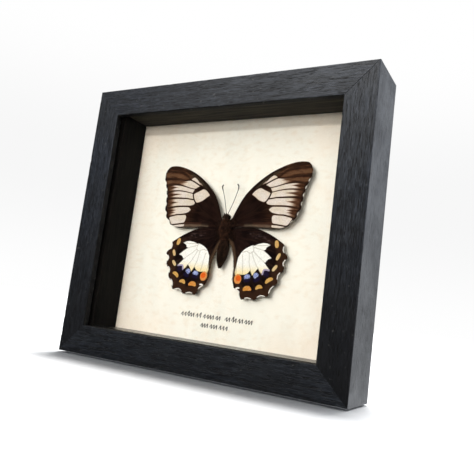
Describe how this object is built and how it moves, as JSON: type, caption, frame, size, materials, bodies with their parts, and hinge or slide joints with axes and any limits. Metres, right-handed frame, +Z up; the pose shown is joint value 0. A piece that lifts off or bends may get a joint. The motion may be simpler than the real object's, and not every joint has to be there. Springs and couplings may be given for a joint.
{
  "type": "framed butterfly specimen",
  "caption": "Spread swallowtail butterfly mounted on cream paper under glass in a deep black wooden box frame that stands on its bottom rail or hangs on a wall.",
  "frame": {"origin": "middle of the footprint of the frame as it stands on its bottom rail", "axes": "+Z up along the side rails, +X to the right along the bottom rail as seen from the front, +Y through the frame towards its back; the glass and the butterfly face -Y"},
  "size_m": [0.2, 0.035, 0.182],
  "materials": {
    "stained_wood": "open-grain wood stained black, satin, faint blue-grey bloom along the pores",
    "clear_glass": "clear float glass with a faint green edge",
    "black_card": "black-faced card, satin, paler where light grazes it",
    "cream_paper": "matt cream parchment paper with soft tan mottling",
    "backing_board": "bare brown fibreboard",
    "plated_steel": "zinc-plated sheet steel",
    "wing_scales": "matt scaled wing membrane, black-brown with cream windows, white patches and orange and blue spots",
    "brown_down": "short dark brown down over a hard body",
    "dark_horn": "dark horn, slightly glossy"
  },
  "bodies": {
    "root": {"rail_top": "stained_wood", "rail_bottom": "stained_wood", "rail_left": "stained_wood", "rail_right": "stained_wood", "glass": "clear_glass", "fillet_top": "black_card", "fillet_bottom": "black_card", "fillet_left": "black_card", "fillet_right": "black_card", "backing_paper": "cream_paper", "backing_board": "backing_board", "holding_tab_1": "plated_steel", "holding_tab_2": "plated_steel", "holding_tab_3": "plated_steel", "holding_tab_4": "plated_steel", "holding_tab_5": "plated_steel", "holding_tab_6": "plated_steel", "holding_tab_7": "plated_steel", "holding_tab_8": "plated_steel", "hanger_strip": "plated_steel", "hanger_rivet_left": "plated_steel", "hanger_rivet_right": "plated_steel", "forewing_left": "wing_scales", "forewing_right": "wing_scales", "hindwing_left": "wing_scales", "hindwing_right": "wing_scales", "head": "brown_down", "thorax": "brown_down", "abdomen": "brown_down", "antenna_left": "dark_horn", "antenna_right": "dark_horn"}
  },
  "joints": []
}
